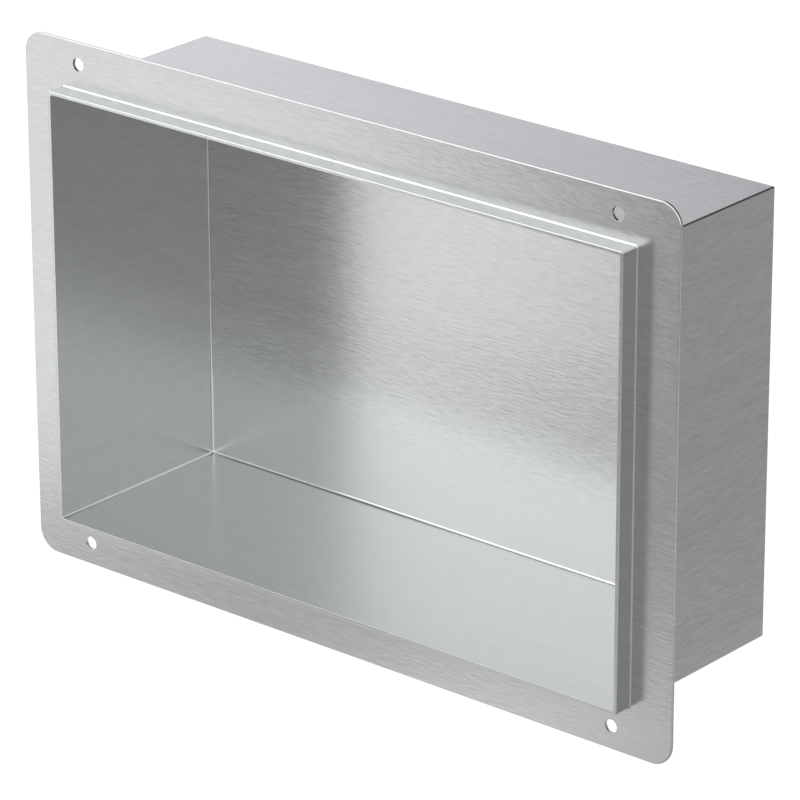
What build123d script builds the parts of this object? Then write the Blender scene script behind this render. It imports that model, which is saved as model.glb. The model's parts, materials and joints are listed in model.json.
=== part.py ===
from build123d import *
import os

# Shower niche insert of brushed stainless sheet, in millimetres.
# The frame is set by the wall: X runs to the right, Y into the wall and Z up.
# The origin is the middle of the flange's back face, which lies against the wall.

# Tray, measured outside: its recess is what lies behind the flange's back face,
# its lip what stands out of the flange's front face
box_width = 305.0
box_height = 196.0
recess_depth = 88.0
lip_projection = 9.0
box_sheet = 1.5

# Edges of the tray: tight folds at the back, ground seams along the depth, and a rim that is
# rounded over outside and only deburred inside
outside_edge_radius = 0.8
inside_edge_radius = 1.1
rim_edge_radius = 0.4
rim_burr_radius = 0.1

# Mounting flange
flange_margin = 21.0
flange_sheet = 1.5
flange_corner_radius = 10.0
flange_edge_radius = 0.5
window_clearance = 0.1

# Screw holes, measured in from the flange's outer edges
screw_hole_diameter = 6.0
screw_hole_side_inset = 30.5
screw_hole_edge_inset = 10.0

# Fillet weld along the front of the flange
weld_leg = 0.5
weld_face_angle = 45.0

# Places and sizes that follow from the ones above
rim_y = -flange_sheet - lip_projection
back_y = recess_depth
flange_width = box_width + 2 * flange_margin
flange_height = box_height + 2 * flange_margin


def tray_block(inset, front_y, edge_radius):
    """The tray's form at an inset from its outside, rounded along its depth and its back."""
    bottom_y = back_y - inset
    block = Box(box_width - 2 * inset, bottom_y - front_y, box_height - 2 * inset)
    block = Pos(0, (front_y + bottom_y) / 2, 0) * block
    _, depth_edges, back_edges = block.edges().group_by(Axis.Y)
    return fillet(depth_edges + back_edges, edge_radius)


def tray_outline(offset):
    """The tray's cross-section, seen from the front and grown by an offset."""
    return RectangleRounded(
        box_width + 2 * offset,
        box_height + 2 * offset,
        outside_edge_radius + offset,
    )


def make_niche_box():
    """The tray: one folded sheet with welded corners, open at the front."""
    outside = tray_block(0, rim_y, outside_edge_radius)
    hollow = tray_block(box_sheet, rim_y - box_sheet, inside_edge_radius)
    tray = outside - hollow
    rim = tray.faces().sort_by(Axis.Y)[0]
    tray = fillet(rim.outer_wire().edges(), rim_edge_radius)
    rim = tray.faces().sort_by(Axis.Y)[0]
    return fillet(rim.inner_wires()[0].edges(), rim_burr_radius)


def make_mounting_flange():
    """The flat frame that slides over the tray, with a screw hole near each corner."""
    hole_spacing_x = flange_width - 2 * screw_hole_side_inset
    hole_spacing_z = flange_height - 2 * screw_hole_edge_inset
    holes = GridLocations(hole_spacing_x, hole_spacing_z, 2, 2) * Circle(screw_hole_diameter / 2)

    outline = RectangleRounded(flange_width, flange_height, flange_corner_radius)
    window = tray_outline(window_clearance)
    frame = extrude(Plane.XZ * (outline - window - holes), flange_sheet)

    broad_faces = frame.faces().filter_by(Axis.Y)
    outer_edges = [edge for face in broad_faces for edge in face.outer_wire().edges()]
    return fillet(outer_edges, flange_edge_radius)


def make_weld_bead():
    """The weld that fills the corner between the lip and the flange, flat across its face."""
    flange_front = Plane.XZ.offset(flange_sheet)
    bead = extrude(flange_front * tray_outline(weld_leg), weld_leg, taper=weld_face_angle)
    return bead - extrude(flange_front * tray_outline(0), weld_leg)


os.makedirs("parts", exist_ok=True)
export_step(make_niche_box(), "parts/niche_box.step")
export_step(make_mounting_flange(), "parts/mounting_flange.step")
export_step(make_weld_bead(), "parts/weld_bead.step")
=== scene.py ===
"""Looks of a shower niche insert: brushed stainless sheet, a dressed weld and a pale studio."""

import json
import logging
import math
from dataclasses import dataclass
from enum import Enum
from typing import Any

import bmesh
import bpy
import numpy as np
from mathutils import Matrix, Vector


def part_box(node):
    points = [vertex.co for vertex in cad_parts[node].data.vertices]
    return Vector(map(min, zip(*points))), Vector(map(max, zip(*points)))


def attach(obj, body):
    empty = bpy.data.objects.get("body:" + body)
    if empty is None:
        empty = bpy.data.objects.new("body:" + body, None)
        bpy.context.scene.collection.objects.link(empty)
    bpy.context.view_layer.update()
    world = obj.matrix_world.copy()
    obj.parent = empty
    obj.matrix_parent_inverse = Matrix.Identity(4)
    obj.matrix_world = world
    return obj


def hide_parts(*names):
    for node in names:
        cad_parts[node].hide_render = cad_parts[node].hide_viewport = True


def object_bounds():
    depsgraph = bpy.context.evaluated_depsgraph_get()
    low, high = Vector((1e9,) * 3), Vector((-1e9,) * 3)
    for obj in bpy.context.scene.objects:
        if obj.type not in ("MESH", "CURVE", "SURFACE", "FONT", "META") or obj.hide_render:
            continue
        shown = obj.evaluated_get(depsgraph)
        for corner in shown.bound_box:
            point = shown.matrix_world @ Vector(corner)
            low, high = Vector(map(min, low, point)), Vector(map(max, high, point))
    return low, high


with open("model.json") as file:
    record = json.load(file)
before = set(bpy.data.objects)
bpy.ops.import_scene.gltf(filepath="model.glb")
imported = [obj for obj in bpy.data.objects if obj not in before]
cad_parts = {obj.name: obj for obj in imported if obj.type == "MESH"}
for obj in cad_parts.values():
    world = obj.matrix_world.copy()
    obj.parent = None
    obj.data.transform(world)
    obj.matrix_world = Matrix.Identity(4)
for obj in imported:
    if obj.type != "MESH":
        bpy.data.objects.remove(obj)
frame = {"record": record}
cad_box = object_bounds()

log = logging.getLogger("shower_niche")

BODY = "root"
MILLIMETRE = 0.001

# Sizes that two pieces share, as in the solids
BOX_EDGE_RADIUS = 0.8 * MILLIMETRE
WINDOW_CLEARANCE = 0.1 * MILLIMETRE

# Points closer than this are one point, and edges sharper than this, in degrees, stay crisp
MERGE_DISTANCE = 0.001 * MILLIMETRE
SHARP_ANGLE = 50.0

# A face this close to an axis, in degrees, is flat, or turned sideways
FLAT_ANGLE = 5.0
SIDEWAYS_ANGLE = 45.0

# The middle of a noise texture's values
NOISE_MIDDLE = 0.5

# Where the Mix node keeps its factor, its two colours and its mixed colour
MIX_FACTOR, MIX_FIRST, MIX_SECOND = 0, 6, 7
MIX_RESULT = 2

Colour = tuple[float, float, float]


class Grain(Enum):
    """The way the abrasive belt ran over a sheet, as the index of its axis."""

    ACROSS = 0
    INWARD = 1

    def stretch(self, length: float, width: float) -> tuple[float, float, float]:
        """Scales that draw noise out into scratches.

        Args:
            length: how long a scratch is, in metres.
            width: how wide a scratch is, in metres.

        Returns:
            The scales on X, Y and Z.
        """
        scales = [1 / width] * 3
        scales[self.value] = 1 / length
        return tuple(scales)


class Wire:
    """One output of a shader tree. Arithmetic on it adds Math nodes to the tree."""

    def __init__(self, bench: "NodeBench", socket: bpy.types.NodeSocket) -> None:
        """Wraps a socket of the bench's tree."""
        self.bench = bench
        self.socket = socket

    def _math(self, operation: str, first: Any, second: Any) -> "Wire":
        """The result of one Math node on two values or wires."""
        return self.bench.node("ShaderNodeMath", {"operation": operation}, {0: first, 1: second})

    def __add__(self, other: Any) -> "Wire":
        """self + other."""
        return self._math("ADD", self, other)

    def __sub__(self, other: Any) -> "Wire":
        """self - other."""
        return self._math("SUBTRACT", self, other)

    def __rsub__(self, other: Any) -> "Wire":
        """other - self."""
        return self._math("SUBTRACT", other, self)

    def __mul__(self, other: Any) -> "Wire":
        """self * other."""
        return self._math("MULTIPLY", self, other)

    __radd__ = __add__
    __rmul__ = __mul__

    def at_most(self, other: Any) -> "Wire":
        """The lesser of self and other."""
        return self._math("MINIMUM", self, other)

    def at_least(self, other: Any) -> "Wire":
        """The greater of self and other."""
        return self._math("MAXIMUM", self, other)


class NodeBench:
    """An emptied shader tree, and the one way of putting nodes into it."""

    def __init__(self, owner: bpy.types.Material | bpy.types.World) -> None:
        """Turns the owner's nodes on and clears them.

        Args:
            owner: the material or the world whose tree this is.
        """
        owner.use_nodes = True
        self.tree = owner.node_tree
        self.tree.nodes.clear()

    def node(
        self,
        kind: str,
        settings: dict[str, Any] | None = None,
        sockets: dict[str | int, Any] | None = None,
        output: str | int = 0,
    ) -> Wire:
        """Adds a node.

        Args:
            kind: Blender's name for the type of node.
            settings: attributes of the node, set before its sockets.
            sockets: values or wires for its inputs, by name or place.
            output: which of its outputs to hand on.

        Returns:
            The chosen output.
        """
        node = self.tree.nodes.new(kind)
        for name, value in (settings or {}).items():
            setattr(node, name, value)
        for key, value in (sockets or {}).items():
            if isinstance(value, Wire):
                self.tree.links.new(value.socket, node.inputs[key])
            else:
                node.inputs[key].default_value = value
        return Wire(self, node.outputs[output] if len(node.outputs) else None)

    def mix(self, share: Wire, first: Colour | Wire, second: Colour) -> Wire:
        """Mixes two colours.

        Args:
            share: the second colour's share, from 0 to 1.
            first: the colour where the share is 0.
            second: the colour where the share is 1.

        Returns:
            The mixed colour.
        """
        start = first if isinstance(first, Wire) else (*first, 1.0)
        sockets = {MIX_FACTOR: share, MIX_FIRST: start, MIX_SECOND: (*second, 1.0)}
        return self.node("ShaderNodeMix", {"data_type": "RGBA"}, sockets, MIX_RESULT)

    def fade(self, value: Wire, span: tuple[float, float], ends: tuple[float, float]) -> Wire:
        """Goes softly from one end to the other as a value crosses a span.

        Args:
            value: what crosses the span.
            span: where the change begins and where it is complete.
            ends: the results before the span and after it.

        Returns:
            The result, which leaves the first end and meets the second with no kink.
        """
        sockets = {"Value": value}
        for side, place in enumerate(("Min", "Max")):
            sockets["From " + place] = span[side]
            sockets["To " + place] = ends[side]
        return self.node("ShaderNodeMapRange", {"interpolation_type": "SMOOTHSTEP"}, sockets)

    def vector(self, operation: str, *values: Any, output: str = "Vector") -> Wire:
        """The result of one Vector Math node."""
        sockets = dict(enumerate(values))
        return self.node("ShaderNodeVectorMath", {"operation": operation}, sockets, output)


@dataclass(frozen=True)
class BrushedSteel:
    """Stainless sheet brushed one way: long fine scratches in tone, gloss and relief.

    Broad clouds of tone lie under the scratches. Below the higher of the two heights in
    faint_below the scratches weaken, and below the lower one faint_share of them is left.
    """

    name: str
    grain: Grain = Grain.ACROSS
    tone: Colour = (0.633, 0.650, 0.644)
    contrast: float = 0.22
    roughness: float = 0.24
    roughness_swing: float = 0.10
    scratch_length: float = 7.0 * MILLIMETRE
    scratch_width: float = 0.9 * MILLIMETRE
    scratch_depth: float = 0.058 * MILLIMETRE
    cloud_length: float = 90.0 * MILLIMETRE
    cloud_width: float = 7.0 * MILLIMETRE
    cloud_share: float = 0.25
    finer_layers: float = 1.0
    waver: float = 0.3
    faint_below: tuple[float, float] = (-72.0 * MILLIMETRE, -40.0 * MILLIMETRE)
    faint_share: float = 1.0

    def scratches(self, bench: NodeBench, length: float, width: float) -> Wire:
        """Noise in the piece's own coordinates, drawn out along the grain.

        Args:
            bench: the tree that takes the nodes.
            length: how long a scratch is, in metres.
            width: how wide a scratch is, in metres.

        Returns:
            Values from 0 to 1, mostly near the middle.
        """
        place = bench.node("ShaderNodeTexCoord", output="Object")
        scale = self.grain.stretch(length, width)
        drawn = bench.node("ShaderNodeMapping", {}, {"Vector": place, "Scale": scale})
        sockets = {
            "Vector": drawn,
            "Scale": 1.0,
            "Detail": self.finer_layers,
            "Distortion": self.waver,
        }
        return bench.node("ShaderNodeTexNoise", {}, sockets)

    def material(self) -> bpy.types.Material:
        """Makes the material.

        Returns:
            Metal whose colour, roughness and bump all follow the same scratches.
        """
        material = bpy.data.materials.new(self.name)
        bench = NodeBench(material)
        scratch = self.scratches(bench, self.scratch_length, self.scratch_width)
        cloud = self.scratches(bench, self.cloud_length, self.cloud_width)
        place = bench.node("ShaderNodeTexCoord", output="Object")
        height = bench.node("ShaderNodeSeparateXYZ", {}, {0: place}, "Z")
        strength = bench.fade(height, self.faint_below, (self.faint_share, 1.0))
        swing = scratch * (1 - self.cloud_share) + cloud * self.cloud_share - NOISE_MIDDLE
        tone = NOISE_MIDDLE + swing * strength
        relief = {
            "Strength": 1.0,
            "Distance": self.scratch_depth,
            "Height": (scratch - NOISE_MIDDLE) * strength,
        }
        dark = tuple(share * (1 - self.contrast) for share in self.tone)
        light = tuple(share * (1 + self.contrast) for share in self.tone)
        sockets = {
            "Base Color": bench.mix(tone, dark, light),
            "Metallic": 1.0,
            "Roughness": self.roughness + (tone - NOISE_MIDDLE) * self.roughness_swing,
            "Normal": bench.node("ShaderNodeBump", {}, relief),
        }
        steel = bench.node("ShaderNodeBsdfPrincipled", {}, sockets)
        bench.node("ShaderNodeOutputMaterial", {}, {"Surface": steel})
        return material


@dataclass(frozen=True)
class PolishedWeld:
    """Weld metal, ground and polished, with faint ripples in place of scratches."""

    name: str
    dark: Colour = (0.58, 0.595, 0.59)
    light: Colour = (0.68, 0.695, 0.69)
    roughness: float = 0.27
    roughness_swing: float = 0.08
    ripple: float = 1.4 * MILLIMETRE
    ripple_depth: float = 0.01 * MILLIMETRE
    finer_layers: float = 2.0

    def material(self) -> bpy.types.Material:
        """Makes the material.

        Returns:
            Metal whose colour, roughness and bump follow the weld's ripples.
        """
        material = bpy.data.materials.new(self.name)
        bench = NodeBench(material)
        place = bench.node("ShaderNodeTexCoord", output="Object")
        sockets = {"Vector": place, "Scale": 1 / self.ripple, "Detail": self.finer_layers}
        ripples = bench.node("ShaderNodeTexNoise", {}, sockets)
        relief = {"Strength": 1.0, "Distance": self.ripple_depth, "Height": ripples}
        sockets = {
            "Base Color": bench.mix(ripples, self.dark, self.light),
            "Metallic": 1.0,
            "Roughness": self.roughness + (ripples - NOISE_MIDDLE) * self.roughness_swing,
            "Normal": bench.node("ShaderNodeBump", {}, relief),
        }
        steel = bench.node("ShaderNodeBsdfPrincipled", {}, sockets)
        bench.node("ShaderNodeOutputMaterial", {}, {"Surface": steel})
        return material


def turn_round(arc_steps: int, marks: np.ndarray) -> np.ndarray:
    """Lays out one turn round a rectangle with rounded corners, anticlockwise from the front.

    A point is a place on the core rectangle, as shares of its half width and half height, and
    the direction it faces. At a corner the shares stay and the direction swings a quarter turn.
    Along the top and the bottom the direction stays and the width's share takes the marks' values.

    Args:
        arc_steps: steps in each corner's quarter turn.
        marks: shares of the half width from 1 down to -1 at which the long sides are divided.

    Returns:
        One row for each point: share of width, share of height, direction on X, direction on Z.
    """
    swing = np.linspace(0.0, math.pi / 2, arc_steps + 1)
    corners = [(1, 1), (-1, 1), (-1, -1), (1, -1)]
    rows = []
    for quarter, (right, up) in enumerate(corners):
        angle = swing + quarter * math.pi / 2
        corner = np.ones_like(angle)
        rows.append(np.stack([right * corner, up * corner, np.cos(angle), np.sin(angle)], axis=1))
        if quarter % 2 == 0:
            side = np.ones_like(marks)
            rows.append(np.stack([right * marks, up * side, 0 * side, up * side], axis=1))
    return np.concatenate(rows)


def carry_round(half: tuple[float, float], stations: np.ndarray, turn: np.ndarray) -> np.ndarray:
    """Carries a profile round a rectangle with rounded corners.

    A station of the profile is an inset from the rectangle, a corner radius and a place on Y.
    A point lies at share * (half size - inset - radius) + radius * direction on X and Z.

    Args:
        half: half width and half height of the rectangle, in metres.
        stations: one row for each step of the profile: inset, radius, Y.
        turn: the rows that turn_round gives.

    Returns:
        Points as an array of stations by turn by 3.
    """
    inset, radius, depth = (stations[:, None, column] for column in range(3))
    across = turn[None, :, 0] * (half[0] - inset - radius) + radius * turn[None, :, 2]
    upward = turn[None, :, 1] * (half[1] - inset - radius) + radius * turn[None, :, 3]
    return np.stack([across, np.broadcast_to(depth, across.shape), upward], axis=-1)


def quads(rows: int, columns: int, closed: bool) -> np.ndarray:
    """Joins a grid of points into four-sided faces that face out of the metal.

    Args:
        rows: stations of the profile.
        columns: points of one turn, which always closes on itself.
        closed: whether the last station joins the first.

    Returns:
        An array of rows by columns by 4 point numbers.
    """
    row = np.arange(rows if closed else rows - 1)[:, None]
    column = np.arange(columns)[None, :]
    next_row, next_column = (row + 1) % rows, (column + 1) % columns
    corners = [(row, column), (next_row, column), (next_row, next_column), (row, next_column)]
    return np.stack([r * columns + c for r, c in corners], axis=-1)


def round_over(start: float, end: float, steps: int) -> tuple[np.ndarray, np.ndarray]:
    """Sines and cosines of evenly spaced angles between two, given in degrees."""
    angle = np.radians(np.linspace(start, end, steps + 1))
    return np.sin(angle), np.cos(angle)


def sheet_piece(
    name: str, points: np.ndarray, faces: list[list[int]], node: str
) -> bpy.types.Object:
    """Makes a metal piece from points and faces, in place of a CAD node.

    Args:
        name: name of the piece.
        points: its points, in metres, in the part's frame.
        faces: lists of point numbers, facing outwards.
        node: the CAD node that it stands for.

    Returns:
        The piece, smooth over its rounds and crisp along its edges.
    """
    mesh = bpy.data.meshes.new(name)
    mesh.from_pydata(points.reshape(-1, 3).tolist(), [], faces)
    work = bmesh.new()
    work.from_mesh(mesh)
    bmesh.ops.remove_doubles(work, verts=work.verts, dist=MERGE_DISTANCE)
    work.to_mesh(mesh)
    work.free()
    mesh.shade_smooth()
    mesh.set_sharp_from_angle(angle=math.radians(SHARP_ANGLE))
    piece = bpy.data.objects.new(name, mesh)
    bpy.context.scene.collection.objects.link(piece)
    flats = piece.modifiers.new("flats", "WEIGHTED_NORMAL")
    flats.keep_sharp = True
    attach(piece, BODY)
    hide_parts(node)
    log.info("%s: %d points, %d faces", name, len(mesh.vertices), len(mesh.polygons))
    return piece


@dataclass
class FoldedTray:
    """The five-sided box: one folded sheet with its corner seams ground flush."""

    half_width: float
    half_height: float
    rim: float
    back: float
    sheet: float = 1.5 * MILLIMETRE
    outside_radius: float = BOX_EDGE_RADIUS
    inside_radius: float = 1.1 * MILLIMETRE
    rim_radius: float = 0.4 * MILLIMETRE
    rim_burr: float = 0.1 * MILLIMETRE
    arc_steps: int = 8

    @classmethod
    def from_frame(cls) -> "FoldedTray":
        """Takes the box's outside from its CAD node."""
        low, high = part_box("niche_box")
        return cls(high.x, high.z, low.y, high.y)

    def profile(self) -> np.ndarray:
        """The tray's section, from the middle of its inside back, over the rim, to its outside back.

        Each fold is a quarter circle whose corner radius grows with it, so that three folds meet
        in an eighth of a sphere. The rim's outer edge is a quarter circle too, and its inner edge a
        much smaller one. One station lies at the flange's back face, on Y = 0, where the lip's
        finish ends.

        Returns:
            One row for each station: inset, corner radius, Y.
        """
        sine, cosine = round_over(0, 90, self.arc_steps)
        inner, outer = self.inside_radius, self.outside_radius
        edge, burr = self.rim_radius, self.rim_burr
        inside_back = self.back - self.sheet
        parts = [
            (self.sheet + inner * (1 - sine), inner * sine, inside_back - inner * (1 - cosine)),
            (
                self.sheet - burr * (1 - cosine),
                inner + burr * (1 - cosine),
                self.rim + burr * (1 - sine),
            ),
            (edge * (1 - sine), outer - edge * (1 - sine), self.rim + edge * (1 - cosine)),
            (np.zeros(1), np.full(1, outer), np.zeros(1)),
            (outer * (1 - cosine), outer * cosine, self.back - outer * (1 - sine)),
        ]
        return np.concatenate([np.stack(part, axis=1) for part in parts])

    def build(self) -> bpy.types.Object:
        """Carries the section round the box and closes its two back faces.

        Returns:
            The tray.
        """
        turn = turn_round(self.arc_steps, np.array([]))
        stations = self.profile()
        points = carry_round((self.half_width, self.half_height), stations, turn)
        count = len(turn)
        walls = quads(len(stations), count, closed=False).reshape(-1, 4).tolist()
        inside_back = list(range(count))
        outside_back = [(len(stations) - 1) * count + step for step in reversed(range(count))]
        faces = [*walls, inside_back, outside_back]
        return sheet_piece("folded_tray", points, faces, "niche_box")

    def dress(self, tray: bpy.types.Object) -> None:
        """Brushes the back and the outside, and leaves the inside walls and the lip smoother.

        A face belongs inside if its middle lies within half a sheet's thickness of the outside,
        and to the lip if it lies in front of the flange's back face. A side wall's grain runs
        inward and every other wall's across. The folds inside, which face no axis, are brighter,
        and the inside of the back has fainter scratches low down. The first coat that fits a face
        is the one it gets.

        Args:
            tray: the piece that build makes.
        """
        normal, middle = np.zeros((2, len(tray.data.polygons), 3))
        tray.data.polygons.foreach_get("normal", normal.ravel())
        tray.data.polygons.foreach_get("center", middle.ravel())
        facing = np.abs(normal)
        straight = math.cos(math.radians(FLAT_ANGLE))
        reach = np.array([self.half_width, self.back, self.half_height]) - self.sheet / 2
        inside = (np.abs(middle[:, [0, 2]]) < reach[[0, 2]]).all(axis=1) & (middle[:, 1] < reach[1])
        inside_back = inside & (facing[:, 1] > straight)
        folds = inside & (facing.max(axis=1) < straight)
        smoother = inside | (middle[:, 1] < 0)
        sideways = facing[:, 0] > math.cos(math.radians(SIDEWAYS_ANGLE))
        smooth = {
            "tone": (0.643, 0.652, 0.651),
            "contrast": 0.05,
            "scratch_depth": 0.012 * MILLIMETRE,
        }
        coats = [
            (inside_back, BrushedSteel("tray_back_inside", faint_share=0.2)),
            (folds, BrushedSteel("tray_folds_bright", roughness=0.14, **smooth)),
            (smoother & sideways, BrushedSteel("tray_smooth_inward", Grain.INWARD, **smooth)),
            (smoother, BrushedSteel("tray_smooth_across", **smooth)),
            (sideways, BrushedSteel("tray_brushed_inward", Grain.INWARD)),
            (~sideways, BrushedSteel("tray_brushed_across")),
        ]
        for _, finish in coats:
            tray.data.materials.append(finish.material())
        index = np.select([faces for faces, _ in coats], range(len(coats)))
        tray.data.polygons.foreach_set("material_index", index.astype(np.int32))


@dataclass
class ScrewFlange:
    """The flat frame round the tray, with a screw hole near each corner."""

    half_width: float
    half_height: float
    front: float
    back: float
    window_inset: float
    hole_places: np.ndarray
    hole_radius: float
    corner_radius: float = 10.0 * MILLIMETRE
    window_radius: float = BOX_EDGE_RADIUS + WINDOW_CLEARANCE
    edge_radius: float = 0.5 * MILLIMETRE
    hole_burr: float = 0.12 * MILLIMETRE
    hole_field: float = 16.0 * MILLIMETRE
    arc_steps: int = 16
    edge_steps: int = 6
    hole_steps: int = 12

    @classmethod
    def from_frame(cls) -> "ScrewFlange":
        """Takes the flange's outline from its CAD node and its holes from the record.

        Returns:
            The flange's sizes.
        """
        low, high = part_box("mounting_flange")
        tray_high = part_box("niche_box")[1]
        mounts = {mount["name"]: mount for mount in frame["record"]["mounts"]}
        holes = mounts["screw_holes"]["dims"]
        across = holes["spacing_x_mm"] / 2 * MILLIMETRE
        upward = holes["spacing_y_mm"] / 2 * MILLIMETRE
        signs = np.array([(1, 1), (-1, 1), (-1, -1), (1, -1)])
        return cls(
            high.x,
            high.z,
            low.y,
            high.y,
            high.x - tray_high.x - WINDOW_CLEARANCE,
            signs * (across, upward),
            holes["hole_r_mm"] * MILLIMETRE,
        )

    def profile(self) -> np.ndarray:
        """The flange's section: window, front face, rounded outer edge, back face.

        Returns:
            One row for each station: inset, corner radius, Y.
        """
        sine, cosine = round_over(0, 90, self.edge_steps)
        edge = self.edge_radius
        inset = edge * (1 - sine)
        around = np.concatenate([inset, inset[::-1]])
        rise = edge * (1 - cosine)
        depth = np.concatenate([self.front + rise, self.back - rise[::-1]])
        outer = np.stack([around, self.corner_radius - around, depth], axis=1)
        window = [self.window_inset, self.window_radius]
        return np.concatenate([[[*window, self.front]], outer, [[*window, self.back]]])

    def build(self) -> bpy.types.Object:
        """Carries the section round the outline and lets a hole into each corner's field.

        Returns:
            The flange.
        """
        outer_core = self.half_width - self.corner_radius
        window_core = self.half_width - self.window_inset - self.window_radius
        middle = (outer_core + window_core) / 2
        share = abs(self.hole_places[0, 0]) / middle
        reach = self.hole_field / 2 / middle
        marks = np.array([share + reach, share - reach, reach - share, -share - reach])
        turn = turn_round(self.arc_steps, marks)
        stations = self.profile()
        points = carry_round((self.half_width, self.half_height), stations, turn)
        grid = quads(len(stations), len(turn), closed=True)
        front_row, back_row = 0, len(stations) - 2
        corner = self.arc_steps + 1
        half_turn = 2 * corner + len(marks)
        columns = [corner, corner + 2, half_turn + corner, half_turn + corner + 2]
        keep = np.ones(grid.shape[:2], bool)
        rings, faces, first = [points.reshape(-1, 3)], [], points.shape[0] * points.shape[1]
        for column, place in zip(columns, self.hole_places):
            keep[[front_row, back_row], column] = False
            ring, ring_faces = self.hole(
                place, grid[front_row, column], grid[back_row, column], first
            )
            rings.append(ring)
            faces.extend(ring_faces)
            first += len(ring)
        faces = grid[keep].tolist() + faces
        return sheet_piece(
            "screw_flange", np.concatenate(rings), faces, "mounting_flange"
        )

    def hole(
        self, place: np.ndarray, front_field: np.ndarray, back_field: np.ndarray, first: int
    ) -> tuple[np.ndarray, list[list[int]]]:
        """A drilled hole with a light burr knocked off both edges.

        Its wall is a profile of four circles carried from front to back. A circle's points start
        at its lower right and run anticlockwise, and each quarter of the first and the last circle
        is joined to one side of the four-sided field round it.

        Args:
            place: centre of the hole on X and Z.
            front_field: the field's corners on the front face.
            back_field: the field's corners on the back face.
            first: number of the hole's first point.

        Returns:
            The hole's points, and its faces.
        """
        quarter = self.hole_steps
        count = 4 * quarter
        angle = np.arange(count) * 2 * math.pi / count - math.pi / 4
        burr = self.hole_burr
        radius = self.hole_radius + np.array([burr, 0, 0, burr])[:, None]
        depth = np.array([self.front, self.front + burr, self.back - burr, self.back])
        across = place[0] + radius * np.cos(angle)
        upward = place[1] + radius * np.sin(angle)
        ring = np.stack([across, np.broadcast_to(depth[:, None], across.shape), upward], axis=-1)

        faces = (first + quads(len(depth), count, closed=False).reshape(-1, 4)[:, ::-1]).tolist()
        # The quarter at which the front field's first corner lies, on the top strip or the bottom one
        corner = 0 if place[1] > 0 else 2
        rims = ((front_field, 0, 1, corner), (back_field, len(depth) - 1, -1, corner + 1))
        for field, row, sense, start in rims:
            for side in range(4):
                arc_end = (start + sense * (side + 1)) * quarter
                arc = (arc_end - sense * np.arange(quarter + 1)) % count
                corners = [field[side], field[(side + 1) % 4]]
                faces.append([*corners, *(first + row * count + arc)])
        return ring.reshape(-1, 3), faces

    def dress(self, flange: bpy.types.Object) -> None:
        """Brushes the whole frame from side to side, a little finer than the tray.

        Args:
            flange: the piece that build makes.
        """
        finish = BrushedSteel(
            "flange_brushed_across",
            contrast=0.14,
            roughness_swing=0.08,
            scratch_length=5.5 * MILLIMETRE,
            scratch_depth=0.045 * MILLIMETRE,
            faint_below=(-104.0 * MILLIMETRE, -88.0 * MILLIMETRE),
            faint_share=0.8,
        )
        flange.data.materials.append(finish.material())


@dataclass
class FilletWeld:
    """The weld in the corner between the lip and the flange, dressed to a flat bright face."""

    half_width: float
    half_height: float
    flange_front: float
    leg: float
    corner_radius: float = BOX_EDGE_RADIUS
    arc_steps: int = 10

    @classmethod
    def from_frame(cls) -> "FilletWeld":
        """Takes the weld's leg and place from the CAD nodes.

        Returns:
            The weld's sizes.
        """
        tray_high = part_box("niche_box")[1]
        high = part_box("weld_bead")[1]
        return cls(tray_high.x, tray_high.z, high.y, high.x - tray_high.x)

    def build(self) -> bpy.types.Object:
        """Carries a right-angled triangle round the lip: toe on the lip, toe on the flange, root.

        Returns:
            The weld.
        """
        stations = np.array(
            [
                (0.0, self.corner_radius, self.flange_front - self.leg),
                (-self.leg, self.corner_radius + self.leg, self.flange_front),
                (0.0, self.corner_radius, self.flange_front),
            ]
        )
        turn = turn_round(self.arc_steps, np.array([]))
        points = carry_round((self.half_width, self.half_height), stations, turn)
        faces = quads(len(stations), len(turn), closed=True).reshape(-1, 4).tolist()
        return sheet_piece("fillet_weld", points, faces, "weld_bead")

    def dress(self, weld: bpy.types.Object) -> None:
        """Gives the weld its polish."""
        weld.data.materials.append(PolishedWeld("weld_polished").material())


def heading(azimuth: float, elevation: float) -> Vector:
    """The direction from the object towards a place round it.

    Args:
        azimuth: degrees to the right, from 0 in front of the object.
        elevation: degrees above the horizon.

    Returns:
        The direction, of length 1.
    """
    turn, lift = math.radians(azimuth), math.radians(elevation)
    level = math.cos(lift)
    return Vector((math.sin(turn) * level, -math.cos(turn) * level, math.sin(lift)))


@dataclass(frozen=True)
class SkyPatch:
    """A soft round patch of light on the studio's walls and ceiling, in degrees from the object."""

    azimuth: float
    elevation: float
    spread: float
    level: float
    tint: Colour = (1.0, 1.0, 1.0)

    def light(self, bench: NodeBench, direction: Wire) -> Wire:
        """The patch's light in a direction.

        Args:
            bench: the tree that takes the nodes.
            direction: the direction from the object.

        Returns:
            The patch's level in its middle, and nothing from its spread outwards.
        """
        middle = heading(self.azimuth, self.elevation)
        cosine = bench.vector("DOT_PRODUCT", direction, middle, output="Value")
        return bench.fade(cosine, (math.cos(math.radians(self.spread)), 1.0), (0.0, self.level))


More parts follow.
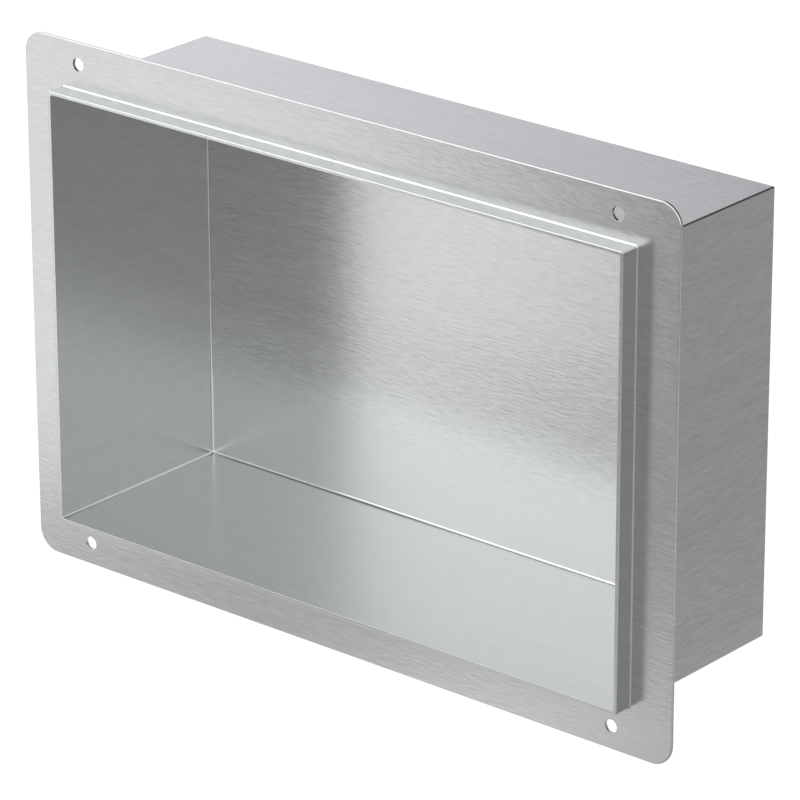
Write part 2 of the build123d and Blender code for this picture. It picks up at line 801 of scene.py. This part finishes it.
@dataclass(frozen=True)
class FloorPool:
    """A pool of light or shade on the floor: a rectangle with soft edges, in metres and degrees."""

    centre: tuple[float, float]
    half: tuple[float, float]
    level: float
    turn: float = 0.0
    soft: float = 0.12

    def paint(self, bench: NodeBench, place: Wire, below: float | Wire) -> Wire:
        """Paints the pool over what lies below it.

        Args:
            bench: the tree that takes the nodes.
            place: the place on the floor.
            below: the level so far.

        Returns:
            The pool's level in its middle, and the level so far outside it.
        """
        sockets = {
            "Vector": place,
            "Location": (*self.centre, 0.0),
            "Rotation": (0.0, 0.0, math.radians(self.turn)),
        }
        turned = bench.node("ShaderNodeMapping", {"vector_type": "TEXTURE"}, sockets)
        away = bench.vector("ABSOLUTE", turned)
        shares = []
        for axis, half in zip("XY", self.half):
            distance = bench.node("ShaderNodeSeparateXYZ", {}, {0: away}, axis)
            shares.append(bench.fade(distance, (half - self.soft, half + self.soft), (1.0, 0.0)))
        return below + shares[0] * shares[1] * (self.level - below)


@dataclass(frozen=True)
class StudioFloor:
    """A floor with pools of light and shade, which the camera sees no darker than pale."""

    name: str = "studio_floor"
    paint: Colour = (0.9, 0.9, 0.9)
    grey: float = 0.36
    pale: float = 0.85
    glow_share: float = 0.9
    pools: tuple[FloorPool, ...] = (
        # Light on the right, for the flange's and the rim's right edges
        FloorPool((0.95, -0.14), (0.32, 0.24), 1.1, turn=-10, soft=0.1),
        # Half light in front, for the left wall and the left of the back
        FloorPool((0.13, -0.59), (0.20, 0.27), 0.66),
        # Shade in front, for the flange's upper right
        FloorPool((-0.236, -0.989), (0.445, 0.249), 0.07, turn=37.7, soft=0.1),
        # Light at the front left, for the flange's left and top and for the middle of the back
        FloorPool((-0.743, -0.665), (0.352, 0.231), 1.15, turn=48.6, soft=0.05),
        # The same light further out
        FloorPool((-1.621, -1.315), (1.013, 0.40), 1.15, turn=47.2, soft=0.07),
        # A brighter strip in it, for the upper right of the back
        FloorPool((-0.58, -0.67), (0.18, 0.10), 1.32, turn=48.6, soft=0.08),
        # Light close in front, for the flange's lower right
        FloorPool((-0.161, -0.256), (0.093, 0.137), 1.09, soft=0.09),
        # White behind the object, where the photograph's camera looks
        FloorPool((-0.59, 0.69), (0.53, 0.82), 1.08, turn=40.4, soft=0.2),
    )

    def material(self) -> bpy.types.Material:
        """Makes the floor's material.

        Returns:
            Matt paint that keeps shadows, under a glow that the camera and reflections see. For
            the camera alone, the glow is lifted to pale.
        """
        material = bpy.data.materials.new(self.name)
        bench = NodeBench(material)
        place = bench.node("ShaderNodeTexCoord", output="Object")
        glow: float | Wire = self.grey
        for pool in self.pools:
            glow = pool.paint(bench, place, glow)
        camera, glossy, transmission = (
            bench.node("ShaderNodeLightPath", output=kind)
            for kind in ("Is Camera Ray", "Is Glossy Ray", "Is Transmission Ray")
        )
        glow = glow.at_least(camera * self.pale)
        emission = bench.node("ShaderNodeEmission", {}, {"Color": glow, "Strength": 1.0})
        matt = bench.node("ShaderNodeBsdfDiffuse", {}, {"Color": (*self.paint, 1.0)})
        seen = (camera + glossy + transmission).at_most(1.0) * self.glow_share
        surface = bench.node("ShaderNodeMixShader", {}, {0: seen, 1: matt, 2: emission})
        bench.node("ShaderNodeOutputMaterial", {}, {"Surface": surface})
        return material


@dataclass(frozen=True)
class Softbox:
    """A lamp with a flat, even face that is turned to the object, in metres.

    At level 1 its face looks white, so its power is pi times its area.
    """

    place: tuple[float, float, float]
    size: tuple[float, float]
    level: float

    def hang(self) -> None:
        """Hangs the lamp where reflections see it and the camera doesn't."""
        light = bpy.data.lights.new("softbox", "AREA")
        light.shape = "RECTANGLE"
        light.size, light.size_y = self.size
        light.energy = self.level * math.pi * self.size[0] * self.size[1]
        lamp = bpy.data.objects.new("softbox", light)
        lamp.location = self.place
        lamp.rotation_euler = Vector(self.place).to_track_quat("Z", "Y").to_euler()
        lamp.visible_camera = False
        bpy.context.scene.collection.objects.link(lamp)


@dataclass
class Studio:
    """The floor, the soft light and the camera, in metres, degrees and millimetres of lens."""

    floor_gap: float = 0.20
    floor_half: float = 12.0
    wall_level: float = 0.05
    backdrop: Colour = (1.0, 1.0, 1.0)
    patches: tuple[SkyPatch, ...] = (
        # A broad dome of light in front
        SkyPatch(-4, 29, 112, 1.26),
        # A high lamp on the left, for the weld's face along the top
        SkyPatch(-58, 47, 23, 1.5),
        # Half light from the right
        SkyPatch(93, 15, 54, 0.55),
        # A faint light from the camera's side
        SkyPatch(40, 24, 32, 0.12),
        # Cool light from behind on the left, for the top of the box
        SkyPatch(-120, 16.5, 34.6, 1.09, (1.005, 1.0, 1.05)),
    )
    softbox: Softbox = Softbox((-0.65, -0.78, 0.135), (1.0, 0.28), 1.02)
    azimuth: float = 40.243
    elevation: float = 21.948
    roll: float = -0.151
    lens: float = 226.885
    aim: tuple[float, float, float] = (0.03166, 0.0, 0.00264)
    distance: float = 2.04443

    def lay_floor(self) -> None:
        """Lays a square floor below the object, which the wall holds up."""
        reach = self.floor_half
        corners = [(-reach, -reach, 0), (reach, -reach, 0), (reach, reach, 0), (-reach, reach, 0)]
        mesh = bpy.data.meshes.new("studio_floor")
        mesh.from_pydata(corners, [], [(0, 1, 2, 3)])
        mesh.materials.append(StudioFloor().material())
        floor = bpy.data.objects.new("studio_floor", mesh)
        floor.location.z = cad_box[0].z - self.floor_gap
        bpy.context.scene.collection.objects.link(floor)

    def light_walls(self) -> None:
        """Lights the studio with soft patches on dim walls, and shows the camera a white backdrop."""
        world = bpy.data.worlds.new("studio_walls")
        bpy.context.scene.world = world
        bench = NodeBench(world)
        direction = bench.node("ShaderNodeTexCoord", output="Generated")
        light: Colour | Wire = (self.wall_level,) * 3
        for patch in self.patches:
            light = bench.vector("MULTIPLY_ADD", patch.light(bench, direction), patch.tint, light)
        camera = bench.node("ShaderNodeLightPath", output="Is Camera Ray")
        seen = bench.mix(camera, light, self.backdrop)
        walls = bench.node("ShaderNodeBackground", {}, {"Color": seen, "Strength": 1.0})
        bench.node("ShaderNodeOutputWorld", {}, {"Surface": walls})

    def place_camera(self) -> None:
        """Sets the camera at the photograph's viewing angle."""
        camera = bpy.data.objects.new("photo_camera", bpy.data.cameras.new("photo_camera"))
        camera.data.lens = self.lens
        away = heading(self.azimuth, self.elevation)
        turn = Matrix.Rotation(math.radians(self.azimuth), 4, "Z")
        tilt = Matrix.Rotation(math.radians(90 - self.elevation), 4, "X")
        roll = Matrix.Rotation(math.radians(self.roll), 4, "Z")
        place = Matrix.Translation(Vector(self.aim) + away * self.distance)
        camera.matrix_world = place @ turn @ tilt @ roll
        bpy.context.scene.collection.objects.link(camera)
        bpy.context.scene.camera = camera

    def build(self) -> None:
        """Makes the whole studio."""
        self.lay_floor()
        self.light_walls()
        self.softbox.hang()
        self.place_camera()
        bpy.context.scene.view_settings.view_transform = "Standard"


def main() -> None:
    """Builds and dresses the pieces in order, then the studio."""
    logging.basicConfig(level=logging.INFO, format="%(name)s: %(message)s")
    for maker in (FoldedTray.from_frame(), ScrewFlange.from_frame(), FilletWeld.from_frame()):
        piece = maker.build()
        maker.dress(piece)
        log.info("%s dressed in %s", piece.name, [m.name for m in piece.data.materials])
    Studio().build()


if __name__ == "__main__":
    main()
